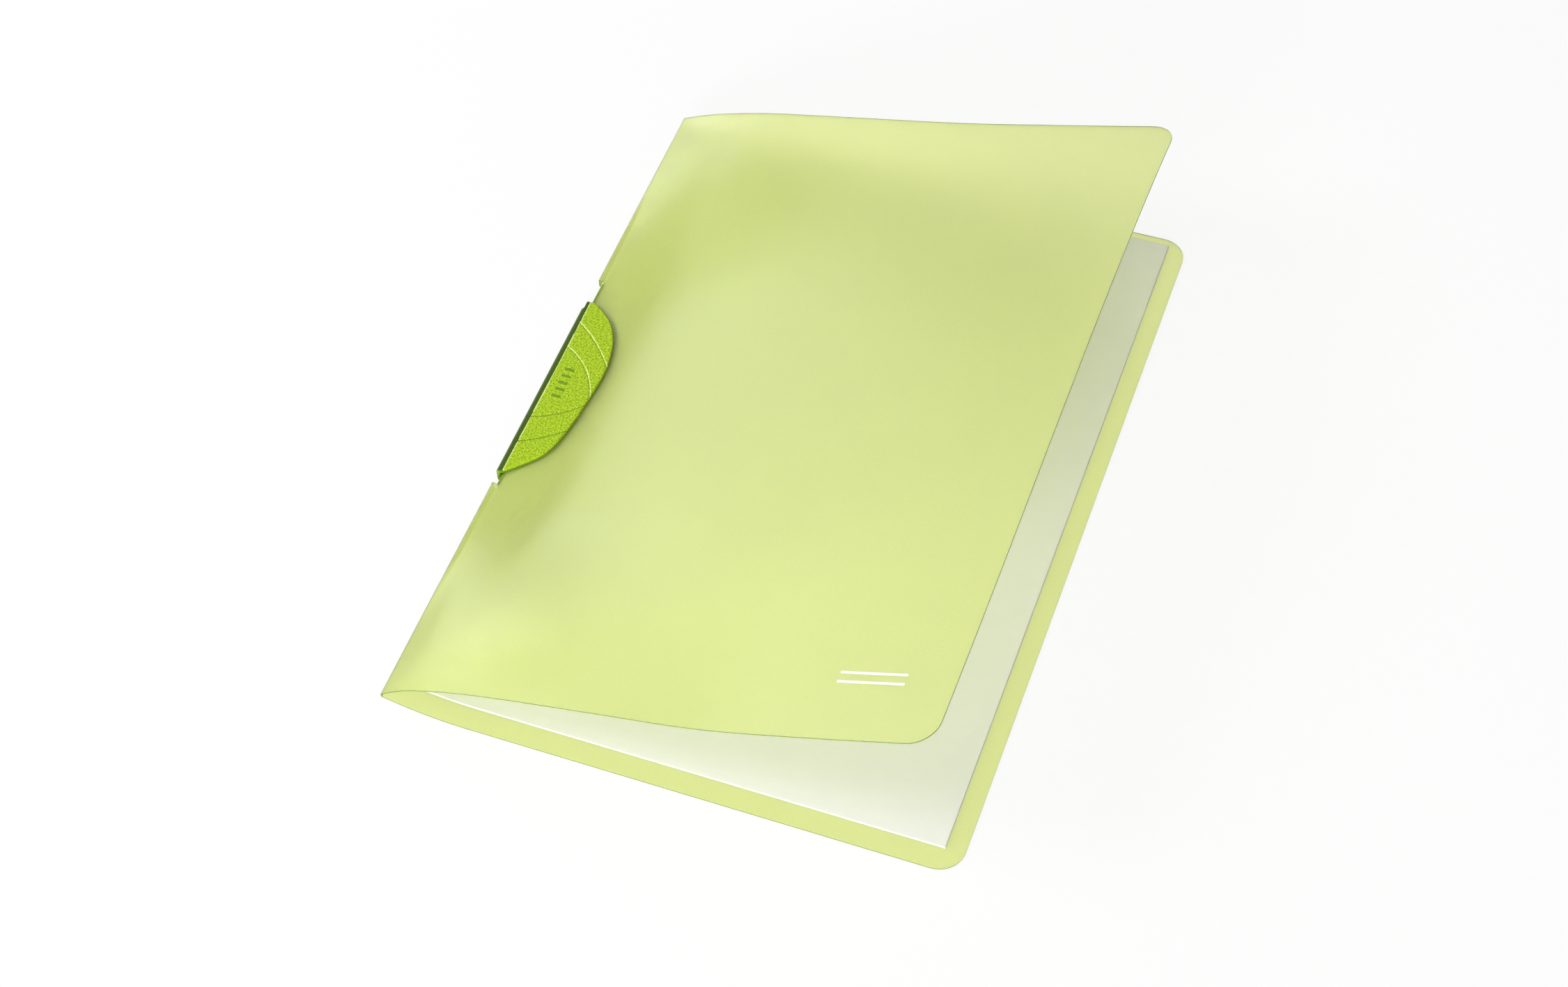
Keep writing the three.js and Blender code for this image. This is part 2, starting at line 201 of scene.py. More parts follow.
@dataclass
class Shape:
    """Points, quads and surface coordinates of one or more closed shells, in millimetres."""

    points: np.ndarray
    quads: np.ndarray
    zones: np.ndarray
    surface: np.ndarray

    @classmethod
    def shell(
        cls,
        outer: np.ndarray,
        inner: np.ndarray,
        surface: np.ndarray,
        keep: np.ndarray | None = None,
        zones: np.ndarray | None = None,
    ) -> "Shape":
        """Closed shell between two grids of points.

        Args:
            outer: Grid of points of the outer side, rows by columns by 3.
            inner: Grid of points of the inner side.
            surface: Place of each grid point on the flat material, rows by columns by 2.
            keep: Cells that are material; all of them where it is left out.
            zones: Zone of each cell; all of them faces where it is left out.

        Returns:
            The shell, without the points that no quad uses.
        """
        grid = (outer.shape[0] - 1, outer.shape[1] - 1)
        cells = np.ones(grid, bool) if keep is None else keep
        quads, marked = shell_quads(cells, np.full(grid, Zone.FACE) if zones is None else zones)
        points = np.concatenate([outer.reshape(-1, 3), inner.reshape(-1, 3)])
        places = np.tile(surface.reshape(-1, 2), (2, 1))
        used, renumbered = np.unique(quads, return_inverse=True)
        return cls(points[used], renumbered.reshape(-1, 4), marked, places[used])

    @classmethod
    def joined(cls, shapes: Sequence["Shape"]) -> "Shape":
        """Several shells as one shape, each one's quads numbered after the points before it."""
        starts = np.cumsum([0, *(len(shape.points) for shape in shapes[:-1])])
        return cls(
            np.concatenate([shape.points for shape in shapes]),
            np.concatenate([shape.quads + start for shape, start in zip(shapes, starts)]),
            np.concatenate([shape.zones for shape in shapes]),
            np.concatenate([shape.surface for shape in shapes]),
        )

    def to_object(
        self, name: str, origin: Vector, finishes: Sequence[bpy.types.Material]
    ) -> bpy.types.Object:
        """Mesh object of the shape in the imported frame.

        Args:
            name: The piece's name.
            origin: Where the spine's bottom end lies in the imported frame, in metres.
            finishes: Materials in the order of Zone; the last covers the zones after it.

        Returns:
            The object, smooth except along sharp edges, linked to the scene.
        """
        mesh = bpy.data.meshes.new(name)
        places = self.points * MILLIMETRE + np.array(origin)
        mesh.vertices.add(len(places))
        mesh.vertices.foreach_set("co", places.astype(np.float32).ravel())
        mesh.loops.add(self.quads.size)
        mesh.loops.foreach_set("vertex_index", self.quads.ravel().astype(np.int32))
        mesh.polygons.add(len(self.quads))
        mesh.polygons.foreach_set("loop_start", np.arange(0, self.quads.size, 4, dtype=np.int32))
        mesh.polygons.foreach_set("use_smooth", np.ones(len(self.quads), bool))
        place = np.minimum(self.zones, len(finishes) - 1).astype(np.int32)
        mesh.polygons.foreach_set("material_index", place)
        coordinates = mesh.uv_layers.new(name="surface")
        on_surface = self.surface[self.quads.ravel()] * MILLIMETRE
        coordinates.data.foreach_set("uv", on_surface.astype(np.float32).ravel())
        for finish in finishes:
            mesh.materials.append(finish)
        mesh.update(calc_edges=True)
        mesh.set_sharp_from_angle(angle=math.radians(SHARP_ANGLE_DEG))
        return add_object(name, mesh)


# Form of the folder


@dataclass(frozen=True)
class FolderForm:
    """Form of the folded film and of what lies in it, in millimetres."""

    film: float = 0.45
    width: float = 220.0
    height: float = 310.0
    corner_radius: float = 10.0
    reach: float = 210.0
    free_edge: tuple[float, float, float] = (79.3, 77.3, 64.5)
    crease: tuple[float, float, float] = (6.9, 5.4, 6.7)
    back_crease: tuple[float, float, float] = (5.3, 1.62, 4.2)
    crease_bulge: float = 0.3
    back_curl: float = 35.0
    side_bend: float = 30.0
    free_share: float = 0.05
    lift_off: float = 12.0
    crown_bottom: tuple[tuple[float, float], ...] = (
        (0, 0), (0.05, 3.5), (0.13, 4.8), (0.23, 3.9), (0.4, 0.3), (0.6, -3.9), (0.78, -3), (1, 0),
    )
    crown_top: tuple[tuple[float, float], ...] = (
        (0, 0), (0.05, 2.1), (0.1, 3.2), (0.18, 3.8), (0.3, 2.8), (0.58, 0), (0.75, -0.3), (1, 0),
    )
    clip_top: float = 201.05
    rail_bottom: float = 104.65
    rail_top: float = 213.45
    window_margin: float = 0.6
    window_depth: float = 2.2
    flat_end: float = 21.6
    film_at_clip: float = 4.775
    flange_reach: float = 14.0
    flange_step: float = 1.1
    end_bend: float = 44.0
    gap: float = 0.2
    sheet_width: float = 210.0
    sheet_height: float = 297.0
    sheet_left: float = 2.6
    sheet_bottom: float = 8.7
    stack: float = 1.2

    @property
    def window(self) -> tuple[float, float]:
        """Lower and upper end of the window in the spine."""
        return self.rail_bottom - self.window_margin, self.rail_top + self.window_margin

    def held(self, y: np.ndarray) -> np.ndarray:
        """1 where clip and rail hold the film flat, eased to 0 towards both ends of the spine."""
        free = self.free_share * self.height
        return ease_between(free, self.rail_bottom, y) * (
            1.0 - ease_between(self.clip_top, self.height - free, y)
        )

    def crease_x(self, y: np.ndarray) -> np.ndarray:
        """How far the spine bows in at its free ends and out where it is held."""
        return mix(self.crease_bulge, -self.crease_bulge, self.held(y))

    def crease_z(self, y: np.ndarray) -> np.ndarray:
        """Height of the front crease: straight between its ends, pressed down where it is held."""
        bottom, clip, top = self.crease
        return mix(mix(bottom, top, y / self.height), clip, self.held(y))

    def back_height(self, x: np.ndarray, y: np.ndarray) -> np.ndarray:
        """Middle of the back film: flat, curling up to the spine by the square of what is left."""
        flat = self.film / 2
        curl = np.clip(1.0 - x / self.back_curl, 0.0, 1.0) ** 2
        bottom, clip, top = self.back_crease
        ends = (mix(bottom, top, y / self.height) - flat) * curl
        beside = 1.0 - ease_between(self.flat_end, self.flat_end + self.side_bend, x)
        return flat + mix(ends, (clip - flat) * beside, self.held(y))

    def front_height(self, x: np.ndarray, y: np.ndarray) -> np.ndarray:
        """Middle of the ajar front film.

        The two ends are straight lines from crease to free edge plus a crown curve. The middle
        leaves the clip by a rounded lift off and then runs straight. Between them the ends blend
        along the spine by how firmly the film is held, and further out by a parabola.
        """
        along = y / self.height
        crease_x = self.crease_x(y)
        share = np.clip((x - crease_x) / (self.reach - crease_x), 0.0, 1.0)
        bottom = mix(self.crease[0], self.free_edge[0], share)
        bottom = bottom + curve_through(self.crown_bottom, share)
        top = mix(self.crease[2], self.free_edge[2], share) + curve_through(self.crown_top, share)
        lifted = np.hypot(np.maximum(0.0, x - self.flat_end), self.lift_off) - self.lift_off
        full = math.hypot(self.reach - self.flat_end, self.lift_off) - self.lift_off
        at_crease = 1.0 - ease_between(crease_x, self.window_depth, x)
        middle = (
            self.film_at_clip
            + (self.crease[1] - self.film_at_clip) * at_crease
            + lifted * (self.free_edge[1] - self.film_at_clip) / full
        )
        outward = ease_between(
            self.flat_end + self.corner_radius, self.reach / 2 + self.corner_radius, x
        )
        weight = mix(self.held(y), 4.0 * along * (1.0 - along), outward)
        return mix(mix(bottom, top, along), middle, weight)

    def sheet_floor(self, x: np.ndarray, y: np.ndarray) -> np.ndarray:
        """Underside of the stack: on the back film, with an eased step up over the flange."""
        beside = 1.0 - ease_between(
            self.flange_reach + self.gap, self.flange_reach + self.side_bend, x
        )
        from_foot = ease_between(self.rail_bottom - self.end_bend, self.rail_bottom - self.gap, y)
        to_top = 1.0 - ease_between(self.rail_top + self.gap, self.rail_top + self.end_bend, y)
        over = beside * from_foot * to_top
        return self.back_height(x, y) + self.film / 2 + self.gap + self.flange_step * over

    def rows(self, per_stretch: int = 44) -> np.ndarray:
        """Shares of the height at which films are sampled, with the window's ends among them."""
        low, high = self.window
        places = [
            np.linspace(0.0, low, per_stretch),
            np.linspace(low, high, per_stretch)[1:],
            np.linspace(high, self.height, per_stretch)[1:],
        ]
        return np.concatenate(places) / self.height

    def window_cells(self, shares: np.ndarray, columns: int, cut: int) -> np.ndarray:
        """Cells of a film that are material: all but the first cut columns beside the window."""
        low, high = self.window
        middles = (shares[:-1] + shares[1:]) / 2 * self.height
        keep = np.ones((len(shares) - 1, columns - 1), bool)
        keep[np.ix_((middles > low) & (middles < high), np.arange(columns - 1) < cut)] = False
        return keep

    def inset_y(self, shares: np.ndarray, distance: np.ndarray) -> np.ndarray:
        """y of each row and column: rows share out the height that the rounded corners leave."""
        inset = rounded_drop(self.corner_radius, distance)
        return inset[None, :] + shares[:, None] * (self.height - 2 * inset[None, :])


# Finishes


class Board:
    """A node tree with short calls for placing and joining nodes."""

    def __init__(self, tree: bpy.types.NodeTree) -> None:
        """Empties the tree."""
        self.tree = tree
        tree.nodes.clear()

    def node(self, kind: str, **values: object) -> bpy.types.Node:
        """Adds a node.

        Args:
            kind: Blender's type name of the node.
            values: Socket values by name, with spaces as underscores.

        Returns:
            The node.
        """
        made = self.tree.nodes.new(kind)
        for name, value in values.items():
            made.inputs[name.replace("_", " ")].default_value = value
        return made

    def maths(self, operation: str) -> bpy.types.Node:
        """Adds a Math node that does the operation."""
        made = self.node("ShaderNodeMath")
        made.operation = operation
        return made

    def join(self, source: bpy.types.NodeSocket, target: bpy.types.NodeSocket) -> None:
        """Links one socket to another."""
        self.tree.links.new(source, target)


def grain_group() -> bpy.types.ShaderNodeTree:
    """Node group of fine plastic or paper grain.

    Height is noise at the given scale, with the band of its middle values spread over 0 to 1.
    Mottle is noise a fortieth as fine, for slow changes of tone.

    Returns:
        The group, made on the first call.
    """
    name = "fine_grain"
    if name in bpy.data.node_groups:
        return bpy.data.node_groups[name]
    group = bpy.data.node_groups.new(name, "ShaderNodeTree")
    group.interface.new_socket("Vector", in_out="INPUT", socket_type="NodeSocketVector")
    group.interface.new_socket("Scale", in_out="INPUT", socket_type="NodeSocketFloat")
    group.interface.new_socket("Height", in_out="OUTPUT", socket_type="NodeSocketFloat")
    group.interface.new_socket("Mottle", in_out="OUTPUT", socket_type="NodeSocketFloat")
    board = Board(group)
    entry = board.node("NodeGroupInput")
    leave = board.node("NodeGroupOutput")
    fine = board.node("ShaderNodeTexNoise", Detail=2.0, Roughness=0.55)
    slower = board.maths("DIVIDE")
    slower.inputs[1].default_value = MOTTLE_COARSENESS
    broad = board.node("ShaderNodeTexNoise", Detail=3.0, Roughness=0.6)
    board.join(entry.outputs["Vector"], fine.inputs["Vector"])
    board.join(entry.outputs["Scale"], fine.inputs["Scale"])
    board.join(entry.outputs["Vector"], broad.inputs["Vector"])
    board.join(entry.outputs["Scale"], slower.inputs[0])
    board.join(slower.outputs[0], broad.inputs["Scale"])
    spread = board.node("ShaderNodeMapRange")
    spread.inputs["From Min"].default_value, spread.inputs["From Max"].default_value = NOISE_BAND
    board.join(fine.outputs["Fac"], spread.inputs["Value"])
    board.join(spread.outputs["Result"], leave.inputs["Height"])
    board.join(broad.outputs["Fac"], leave.inputs["Mottle"])
    return group


class Coordinates(Enum):
    """Which coordinates a finish reads."""

    SURFACE = "UV"
    OBJECT = "Object"


@dataclass(frozen=True)
class Finish:
    """A plastic or paper finish with grain: tone, mottle, gloss and how much light passes."""

    name: str
    tone: Colour
    mottled: Colour
    roughness: float
    transmission: float = 0.0
    grain_mm: float = 0.5
    grain_depth_mm: float = 0.01
    grain_strength: float = 0.3
    index: float = 1.49
    coat: float = 0.0
    coat_roughness: float = 0.3
    specular: float = 0.5
    speckled: bool = False
    reads: Coordinates = Coordinates.SURFACE

    def build(self) -> bpy.types.Material:
        """Material whose base colour wanders between two tones and whose bump is the fine grain.

        A speckled finish takes its two tones grain by grain, the others in slow broad changes.
        """
        material = bpy.data.materials.new(self.name)
        material.use_nodes = True
        board = Board(material.node_tree)
        out = board.node("ShaderNodeOutputMaterial")
        shader = board.node(
            "ShaderNodeBsdfPrincipled",
            Roughness=self.roughness,
            IOR=self.index,
            Transmission_Weight=self.transmission,
            Coat_Weight=self.coat,
            Coat_Roughness=self.coat_roughness,
            Specular_IOR_Level=self.specular,
        )
        places = board.node("ShaderNodeTexCoord")
        grain = board.node("ShaderNodeGroup")
        grain.node_tree = grain_group()
        grain.inputs["Scale"].default_value = 1.0 / (self.grain_mm * MILLIMETRE)
        tones = board.node("ShaderNodeMix")
        tones.data_type = "RGBA"
        colours = [socket for socket in tones.inputs if socket.type == "RGBA"]
        colours[0].default_value = (*self.tone, 1.0)
        colours[1].default_value = (*self.mottled, 1.0)
        bump = board.node(
            "ShaderNodeBump",
            Strength=self.grain_strength,
            Distance=self.grain_depth_mm * MILLIMETRE,
        )
        board.join(places.outputs[self.reads.value], grain.inputs["Vector"])
        board.join(grain.outputs["Height" if self.speckled else "Mottle"], tones.inputs[0])
        mixed = [socket for socket in tones.outputs if socket.type == "RGBA"][0]
        board.join(mixed, shader.inputs["Base Color"])
        board.join(grain.outputs["Height"], bump.inputs["Height"])
        board.join(bump.outputs["Normal"], shader.inputs["Normal"])
        board.join(shader.outputs["BSDF"], out.inputs["Surface"])
        return material


FILM = Finish(
    "frosted_film",
    tone=(0.89, 0.94, 0.45),
    mottled=(0.81, 0.88, 0.35),
    roughness=0.55,
    transmission=0.92,
    grain_mm=0.6,
    grain_depth_mm=0.02,
    index=1.4,
    coat=0.6,
    coat_roughness=0.28,
    specular=0.3,
    speckled=True,
)
FILM_RIM = Finish(
    "film_cut_edge",
    tone=(0.16, 0.26, 0.025),
    mottled=(0.14, 0.23, 0.02),
    roughness=0.4,
    transmission=0.0,
    grain_mm=0.35,
    grain_depth_mm=0.01,
)
PAPER = Finish(
    "office_paper",
    tone=(0.93, 0.94, 0.92),
    mottled=(0.9, 0.91, 0.89),
    roughness=0.85,
    transmission=0.0,
    grain_mm=0.25,
    grain_depth_mm=0.02,
)
CLIP = Finish(
    "clear_lime_plastic",
    tone=(0.2, 0.42, 0.003),
    mottled=(0.7, 0.88, 0.05),
    roughness=0.35,
    transmission=0.15,
    grain_mm=0.7,
    grain_depth_mm=0.04,
    specular=0.12,
    speckled=True,
)
# Darker tone of the clip's edge walls; it also paints shade into the edge's grooves, and the bars
# take it.
CLIP_RIM_AND_SHADE = Finish(
    "lime_plastic_rim_and_painted_shade",
    tone=(0.22, 0.38, 0.008),
    mottled=(0.2, 0.34, 0.006),
    roughness=0.3,
    transmission=0.1,
    grain_mm=0.5,
    grain_depth_mm=0.01,
    specular=0.2,
)
# Painted shade: the dark olive of looking down into the thick web, laid over the web, the back plate
# and the front plate's first stretch.
CLIP_PAINTED_SHADE = Finish(
    "lime_plastic_painted_shade",
    tone=(0.05, 0.1, 0.002),
    mottled=(0.06, 0.12, 0.003),
    roughness=0.3,
    transmission=0.1,
    grain_mm=0.5,
    grain_depth_mm=0.01,
    specular=0.2,
)
# Painted highlight: the light caught along the plate's edge beside the web and in the rim's grooves.
CLIP_PAINTED_HIGHLIGHT = Finish(
    "lime_plastic_painted_highlight",
    tone=(0.78, 0.9, 0.3),
    mottled=(0.74, 0.86, 0.26),
    roughness=0.3,
    transmission=0.1,
    grain_mm=0.5,
    grain_depth_mm=0.01,
    specular=0.3,
)
RAIL = Finish(
    "lime_rail_plastic",
    tone=(0.26, 0.42, 0.015),
    mottled=(0.3, 0.46, 0.02),
    roughness=0.3,
    transmission=0.1,
    grain_mm=0.5,
    grain_depth_mm=0.02,
    specular=0.2,
    reads=Coordinates.OBJECT,
)
INK = Finish(
    "white_ink",
    tone=(0.95, 0.96, 0.92),
    mottled=(0.93, 0.94, 0.9),
    roughness=0.5,
    transmission=0.0,
    grain_mm=0.3,
    grain_depth_mm=0.01,
)


# Pieces


@dataclass
class Covers:
    """The folded film: a back film on the table and a front film that bends beside the clip.

    The columns are numbers of points in each stretch of a film, from the fold outwards.
    """

    form: FolderForm
    origin: Vector
    back_columns: tuple[int, int, int] = (4, 39, 23)
    front_columns: tuple[int, int, int, int, int] = (3, 5, 3, 49, 69)
    corner_columns: int = 14
    crease_round: float = 0.5
    bend_start: tuple[float, float] = (22.0, 9.0)
    bend_length: float = 60.0
    bend_rise_deg: float = 20.0
    title_bottoms: tuple[float, float] = (24.2, 28.2)
    title_span: tuple[float, float] = (168.5, 192.5)
    title_height: float = 1.1
    title_grid: tuple[int, int] = (40, 4)
    ink_lift: tuple[float, float] = (0.005, 0.03)

    def from_edge(self) -> np.ndarray:
        """Distances from the free edge that sample a quarter circle evenly, farthest first."""
        angle = np.linspace(math.pi / 2, 0.0, self.corner_columns)
        return self.form.corner_radius * (1.0 - np.cos(angle))

    def back_shape(self) -> Shape:
        """Back film: columns from the crease to the free edge, each at its height."""
        form = self.form
        shares = form.rows()
        fold_count, near_count, far_count = self.back_columns
        bend_end = form.flat_end + form.side_bend
        out_from_spine = evenly(0.0, 1.0, fold_count)
        near = evenly(form.window_depth, bend_end, near_count)
        far = evenly(bend_end, form.width - form.corner_radius, far_count)
        fixed = np.concatenate([near, far, form.width - self.from_edge()])
        distance = np.concatenate([np.full(fold_count, form.width), form.width - fixed])
        y = form.inset_y(shares, distance)
        start = form.crease_x(y[:, :1]) - form.film / 2
        x = np.concatenate(
            [mix(start, form.window_depth, out_from_spine), np.tile(fixed, (len(shares), 1))], 1
        )
        middle = np.stack([x, y, form.back_height(np.maximum(x, 0.0), y)], -1)
        normals = grid_normals(middle) * form.film / 2
        keep = form.window_cells(shares, x.shape[1], fold_count)
        return Shape.shell(middle + normals, middle - normals, middle[..., :2], keep)

    def front_shape(self) -> Shape:
        """Front film: up the spine strip, round the crease by a parabola, out to the free edge."""
        form = self.form
        strip_count, turn_count, beside_count, near_count, far_count = self.front_columns
        shares = form.rows()
        row_y = shares[:, None] * form.height
        crease_x, crease_z = form.crease_x(row_y), form.crease_z(row_y)
        strip_foot = form.back_height(np.zeros_like(row_y), row_y) + form.film / 2
        strip = evenly(0.0, 1.0, strip_count)
        strip_x = np.repeat(crease_x, strip_count, 1)
        strip_z = mix(strip_foot, crease_z - self.crease_round, strip)
        turn = evenly(0.0, 1.0, turn_count)
        landing_x = crease_x + self.crease_round
        landing_z = form.front_height(landing_x, row_y)
        turn_x = crease_x + self.crease_round * turn**2
        turn_z = (
            (1 - turn) ** 2 * (crease_z - self.crease_round)
            + 2 * turn * (1 - turn) * crease_z
            + turn**2 * landing_z
        )
        beside = mix(landing_x, form.window_depth, evenly(0.0, 1.0, beside_count))
        near = evenly(form.window_depth, 2 * form.flat_end, near_count)
        far = evenly(2 * form.flat_end, form.reach - form.corner_radius, far_count)
        edge = form.reach - self.from_edge() * form.reach / form.width
        fixed = np.concatenate([near, far, edge])
        distance = np.concatenate([np.full(near_count + far_count, form.width), self.from_edge()])
        y = form.inset_y(shares, distance)
        panel_x = np.tile(fixed, (len(shares), 1))
        folded = strip_count + turn_count
        in_window = folded + beside_count
        x = np.concatenate([strip_x, turn_x, beside, panel_x], 1)
        y = np.concatenate([np.repeat(row_y, in_window, 1), y], 1)
        z = np.concatenate([strip_z, turn_z, form.front_height(x[:, folded:], y[:, folded:])], 1)
        middle = np.stack([x, y, z], -1)
        normals = grid_normals(middle) * form.film / 2
        keep = form.window_cells(shares, x.shape[1], in_window)
        lengths = np.cumsum(np.hypot(np.diff(x, axis=1), np.diff(z, axis=1)), axis=1)
        arc = np.concatenate([np.zeros((len(shares), 1)), lengths], 1)
        return Shape.shell(middle + normals, middle - normals, np.stack([arc, y], -1), keep)

    def title_shape(self) -> Shape:
        """Two plain printed lines that follow the front film a hair above it."""
        form = self.form
        columns, rows = self.title_grid
        low, high = self.ink_lift
        lines = []
        for bottom in self.title_bottoms:
            x, y = np.meshgrid(
                np.linspace(*self.title_span, columns),
                np.linspace(bottom, bottom + self.title_height, rows),
            )
            middle = np.stack([x, y, form.front_height(x, y)], -1)
            normals = grid_normals(middle)
            top = middle + normals * (form.film / 2 + high)
            foot = middle + normals * (form.film / 2 + low)
            lines.append(Shape.shell(top, foot, middle[..., :2]))
        return Shape.joined(lines)

    def build(self) -> list[bpy.types.Object]:
        """Makes both films and the printed lines, and puts the back film and the lines on their
        bodies.

        Returns:
            The pieces.
        """
        film, rim = FILM.build(), FILM_RIM.build()
        back = self.back_shape().to_object("back_film", self.origin, [film, rim])
        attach(back, Body.ROOT.value)
        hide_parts("back_cover")
        front = self.front_shape().to_object("front_film", self.origin, [film, rim])
        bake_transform(front)
        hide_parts("front_cover")
        title = self.title_shape().to_object("title_lines", self.origin, [INK.build()])
        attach(title, Body.FRONT.value)
        return [back, front, title]


@dataclass
class SheetStack:
    """A dozen loose sheets, each a thin shell a little out of line with the one below."""

    form: FolderForm
    origin: Vector
    count: int = 12
    slip: float = 0.25
    seed: int = 4
    filled: float = 0.85
    near_columns: int = 29
    far_columns: int = 12
    rows: int = 70

    def sheet_shape(self, number: int, shift: np.ndarray) -> Shape:
        """One sheet: the stack's floor raised by the sheets below it.

        Args:
            number: How many sheets lie under it.
            shift: How far it has slipped along x and y.

        Returns:
            The sheet.
        """
        form = self.form
        bend_end = form.flat_end + form.side_bend
        near = evenly(form.sheet_left, bend_end, self.near_columns)
        far = np.linspace(bend_end, form.sheet_left + form.sheet_width, self.far_columns)
        columns = np.concatenate([near, far])
        sheet_top = form.sheet_bottom + form.sheet_height
        rows = np.linspace(form.sheet_bottom, sheet_top, self.rows)
        x, y = np.meshgrid(columns, rows)
        pitch = form.stack / self.count
        floor = form.sheet_floor(x, y) + number * pitch
        foot = np.stack([x + shift[0], y + shift[1], floor], -1)
        top = foot + np.array([0.0, 0.0, self.filled * pitch])
        return Shape.shell(top, foot, foot[..., :2])

    def build(self) -> bpy.types.Object:
        """Makes the stack as one piece."""
        slips = np.random.default_rng(self.seed).uniform(0.0, self.slip, (self.count, 2))
        slips[-1] = 0.0
        sheets = [self.sheet_shape(number, slips[number]) for number in range(self.count)]
        stack = Shape.joined(sheets).to_object("loose_sheets", self.origin, [PAPER.build()])
        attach(stack, Body.ROOT.value)
        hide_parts("paper_sheets")
        return stack


@dataclass
class SwingClip:
    """The clip: two leaf-shaped plates joined by a web outside the spine, with two stub pins."""

    form: FolderForm
    origin: Vector
    length: float = 91.7
    reach: float = 20.8
    front_top: float = 6.8
    front_plate: float = 1.6
    back_plate: float = 1.2
    overhang: float = 0.9
    web: float = 1.8
    web_stop: float = 196.75
    spine_round: float = 1.0
    rim_round: float = 0.6
    groove_half_width: float = 0.42
    groove_depth: float = 0.35
    outline: tuple[tuple[float, float], ...] = (
        (0, 0.154), (0.012, 0.25), (0.073, 0.587), (0.145, 0.8), (0.222, 0.92), (0.34, 1),
        (0.5, 0.965), (0.72, 0.85), (0.855, 0.66), (0.935, 0.36), (0.995, 0.08), (1, 0.02),
    )
    # Width of the painted highlight line beside the web, and how far the painted shade over the web
    # reaches on the front plate.
    painted_highlight_width: float = 0.4
    painted_web_shade_reach: float = 1.4
    # The rim's grooves take a painted highlight and the edge's grooves take painted shade; both are
    # also cut as dents.
    rim_grooves: tuple[tuple[tuple[float, float], ...], ...] = (
        ((0.09, 12), (0.6, 18.8), (1.02, 31)),
        ((0.09, 25.2), (0.725, 31.8), (0.95, 46.5)),
    )
    edge_grooves: tuple[tuple[tuple[float, float], ...], ...] = (
        ((-0.07, 63.6), (0.55, 60.6), (0.94, 51)),
        ((-0.07, 77.2), (0.42, 73.2), (0.84, 65.5)),
    )
    bar_centres: tuple[float, ...] = (36.5, 40.0, 43.5, 47.0, 50.5)
    bar_span: tuple[float, float] = (5.1, 8.7)
    bar_width: float = 1.8
    bar_height: float = 0.15
    pivot: tuple[float, float] = (0.2, 198.15)
    pin_radius: float = 0.45
    pin_length: float = 1.2
    pin_seat: float = 0.3
    core_share: float = 0.5
    bar_edge: float = 0.35
    least_wall: float = 0.15
    groove_samples: int = 60
    end_rows: int = 60
    even_rows: int = 300
    back_columns: int = 15
    quarter_columns: int = 6
    web_columns: int = 5
    front_columns: int = 72
    pin_grid: int = 9

    @property
    def top(self) -> float:
        """y of the clip's upper end."""
        return self.form.clip_top

    def from_grooves(
        self, grooves: Sequence[Sequence[tuple[float, float]]], x: np.ndarray, y: np.ndarray
    ) -> np.ndarray:
        """Distance of each point to the nearest of some parabolas, taken at samples along each.

        Args:
            grooves: Start, control and end of each, as share of the reach and distance from the top.
            x: x of the points.
            y: y of the points.

        Returns:
            The distances.
        """
        way = np.linspace(0.0, 1.0, self.groove_samples)[:, None]
        curves = []
        for start, control, end in np.array(grooves, dtype=float):
            curves.append((1 - way) ** 2 * start + 2 * way * (1 - way) * control + way**2 * end)
        path = np.concatenate(curves)
        nearest = np.full(x.shape, np.inf)
        for across, down in path:
            nearest = np.minimum(nearest, np.hypot(x - across * self.reach, y - self.top + down))
        return nearest

    def groove_dent(self, x: np.ndarray, y: np.ndarray) -> np.ndarray:
        """Depth of the grooves: a squared cosine of the distance to each curve, deepest on it."""
        distance = self.from_grooves(self.rim_grooves + self.edge_grooves, x, y)
        near = np.clip(distance / self.groove_half_width, 0.0, 1.0)
        return self.groove_depth * np.cos(near * math.pi / 2) ** 2

    def zones(self, x: np.ndarray, y: np.ndarray, on_front: np.ndarray) -> np.ndarray:
        """Zone of each cell: painted shade over the web, a painted highlight line beside it, then
        grooves and bars.

        The rim's grooves carry a painted highlight, the edge's grooves painted shade, and the bars
        are dark.

        Args:
            x: x of the section's points.
            y: y of the section's points.
            on_front: Which columns belong to the front plate.

        Returns:
            A Zone for every cell, taken at its first corner.
        """
        zones = np.full(x.shape, Zone.FACE)
        # Painted shade over the back plate, the web and the front plate's first stretch above it.
        zones[:, ~on_front] = Zone.PAINTED_SHADE
        zones[on_front & (x < self.painted_web_shade_reach)] = Zone.PAINTED_SHADE
        # Painted highlight: a thin line beside the painted shade.
        highlight_line = (x >= self.painted_web_shade_reach) & (x < self.painted_web_shade_reach + self.painted_highlight_width)
        zones[on_front & highlight_line] = Zone.PAINTED_HIGHLIGHT
        core = self.core_share * self.groove_half_width
        # Painted highlight in the rim's grooves.
        zones[on_front & (self.from_grooves(self.rim_grooves, x, y) < core)] = Zone.PAINTED_HIGHLIGHT
        # Painted shade in the edge's grooves.
        dark = on_front & (self.from_grooves(self.edge_grooves, x, y) < core)
        zones[dark & (x >= self.painted_web_shade_reach)] = Zone.RIM_AND_PAINTED_SHADE
        raised = self.bar_rise(x, y) > self.core_share * self.bar_height
        zones[on_front & raised] = Zone.RIM_AND_PAINTED_SHADE
        return zones[:-1, :-1]

    def bar_rise(self, x: np.ndarray, y: np.ndarray) -> np.ndarray:
        """Height of the thumb bars: eased steps across each bar and along its span."""
        edge, half = self.bar_edge, self.bar_width / 2
        left, right = self.bar_span
        across = ease_between(left - edge, left, x) * (1 - ease_between(right, right + edge, x))
        rise = np.zeros_like(x)
        for centre in self.bar_centres:
            away = np.abs(self.top - centre - y)
            rise = np.maximum(rise, 1 - ease_between(half - edge, half, away))
        return self.bar_height * across * rise

